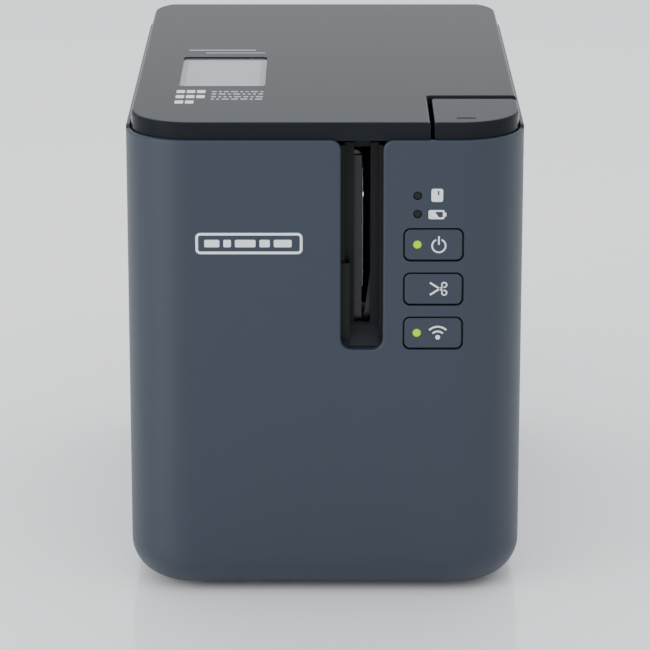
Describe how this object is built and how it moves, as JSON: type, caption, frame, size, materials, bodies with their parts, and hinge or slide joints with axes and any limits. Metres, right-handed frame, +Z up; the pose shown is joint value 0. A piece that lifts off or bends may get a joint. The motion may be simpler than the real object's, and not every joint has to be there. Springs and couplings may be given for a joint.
{
  "type": "label maker",
  "caption": "Desktop label maker: slate grey case with rounded lower edges, hinged lid with window, corner open button, tape exit slot, front keys, tape cassette and cutter.",
  "frame": {"origin": "under the middle of the four feet, on the surface the object stands on", "axes": "+X to the right of the front, +Y to the back, +Z up"},
  "size_m": [0.118, 0.192, 0.146],
  "materials": {
    "case": "fine satin grain, slate grey",
    "cover": "polished, dark slate",
    "window": "clear polished",
    "inner": "black moulded",
    "rubber": "soft matt",
    "lens": "lit yellow-green light pipe",
    "lens_off": "smoked light pipe",
    "steel": "zinc plated",
    "blade_steel": "black coated",
    "aluminium": "anodised",
    "ceramic": "glazed",
    "motor": "black",
    "gear_white": "natural acetal",
    "board": "green solder mask",
    "chips": "black moulded",
    "cassette": "pale grey",
    "paper": "white",
    "cable": "white flat cable"
  },
  "bodies": {
    "housing": {"front_case": "case", "rear_housing": "case", "base_plate": "steel", "case_screws": "steel", "rubber_feet": "rubber", "rating_plate": "paper", "hinge_pins": "steel", "bay_frame": "inner", "button_spring": "steel", "slot_liner": "inner", "indicator_lenses": "lens_off", "key_board": "board", "key_switches": "chips", "flat_cable": "cable", "chassis_plate": "steel", "chassis_pillars": "steel", "print_head": "ceramic", "head_sink": "aluminium", "holder_pin": "steel", "gear_axle": "steel", "feed_motor": "motor", "motor_bracket": "steel", "cutter_frame": "steel", "fixed_blade": "blade_steel", "blade_pin": "steel", "cutter_motor": "motor", "cassette_case": "cassette", "cassette_cover": "cassette", "cassette_label": "paper", "label_tape": "paper", "main_board": "board", "board_parts": "chips", "wireless_module": "steel", "usb_port": "steel", "serial_port": "inner", "power_inlet": "inner", "port_panel": "inner", "cover_switch": "inner"},
    "lid": {"lid": "cover", "lid_window": "window", "lid_liner": "inner", "lid_catch": "inner"},
    "button": {"open_button": "cover"},
    "latch": {"latch_slider": "inner"},
    "power_key": {"power_key": "case", "power_key_lens": "lens"},
    "cut_key": {"cut_key": "case"},
    "wireless_key": {"wireless_key": "case", "wireless_key_lens": "lens"},
    "drive": {"drive_gear": "gear_white"},
    "motor_shaft": {"motor_pinion": "gear_white"},
    "ribbon_drive": {"ribbon_gear": "gear_white", "ribbon_spool": "gear_white"},
    "tape_roll": {"tape_spool": "paper"},
    "holder": {"roller_holder": "inner"},
    "platen": {"platen_roller": "rubber", "platen_gear": "gear_white"},
    "blade": {"moving_blade": "blade_steel"},
    "cutter_shaft": {"cutter_pinion": "gear_white"}
  },
  "joints": [
    {"name": "lid_hinge", "type": "hinge", "parent": "housing", "child": "lid", "pos_m": [0, 0.0846, 0.1361], "axis": [-1, 0, 0], "range_deg": [0, 95]},
    {"name": "button_press", "type": "slide", "parent": "housing", "child": "button", "axis": [0, 0, -1], "range_m": [0, 0.0016], "stiffness_N_per_m": 900, "springref_m": -0.001, "deforming": ["button_spring"]},
    {"name": "latch_slide", "type": "slide", "parent": "housing", "child": "latch", "axis": [0, 1, 0], "range_m": [0, 0.0016]},
    {"name": "power_key_press", "type": "slide", "parent": "housing", "child": "power_key", "axis": [0, 1, 0], "range_m": [0, 0.0008], "stiffness_N_per_m": 900, "springref_m": -0.0006},
    {"name": "cut_key_press", "type": "slide", "parent": "housing", "child": "cut_key", "axis": [0, 1, 0], "range_m": [0, 0.0008], "stiffness_N_per_m": 900, "springref_m": -0.0006},
    {"name": "wireless_key_press", "type": "slide", "parent": "housing", "child": "wireless_key", "axis": [0, 1, 0], "range_m": [0, 0.0008], "stiffness_N_per_m": 900, "springref_m": -0.0006},
    {"name": "drive_spin", "type": "hinge", "parent": "housing", "child": "drive", "pos_m": [0.00408, -0.05074, 0.075], "axis": [0, 0, 1], "continuous": true},
    {"name": "motor_spin", "type": "hinge", "parent": "housing", "child": "motor_shaft", "pos_m": [0.00016, -0.02856, 0.072], "axis": [0, 0, 1], "continuous": true},
    {"name": "ribbon_spin", "type": "hinge", "parent": "housing", "child": "ribbon_drive", "pos_m": [-0.02028, -0.03668, 0.09], "axis": [0, 0, 1], "continuous": true},
    {"name": "tape_spin", "type": "hinge", "parent": "housing", "child": "tape_roll", "pos_m": [-0.023, 0.012, 0.111], "axis": [0, 0, 1], "continuous": true},
    {"name": "holder_swing", "type": "hinge", "parent": "housing", "child": "holder", "pos_m": [0.027, -0.022, 0.11], "axis": [0, 0, 1], "range_deg": [0, 5]},
    {"name": "platen_spin", "type": "hinge", "parent": "holder", "child": "platen", "pos_m": [0.01665, -0.058, 0.1], "axis": [0, 0, 1], "continuous": true},
    {"name": "cutter_swing", "type": "hinge", "parent": "housing", "child": "blade", "pos_m": [0.0145, -0.08215, 0.076], "axis": [0, -1, 0], "range_deg": [0, 8]},
    {"name": "cutter_spin", "type": "hinge", "parent": "housing", "child": "cutter_shaft", "pos_m": [0.0145, -0.08215, 0.05028], "axis": [0, -1, 0], "range_deg": [-29, 0]}
  ],
  "couplings": [
    {"joint": "latch_slide", "follows": "button_press", "ratio": 1},
    {"joint": "motor_spin", "follows": "drive_spin", "ratio": -3},
    {"joint": "ribbon_spin", "follows": "drive_spin", "ratio": -1.5},
    {"joint": "platen_spin", "follows": "drive_spin", "ratio": -0.8},
    {"joint": "tape_spin", "follows": "drive_spin", "ratio": 0.18182},
    {"joint": "holder_swing", "follows": "lid_hinge", "ratio": 0.052632},
    {"joint": "cutter_spin", "follows": "cutter_swing", "ratio": -3.5714}
  ]
}
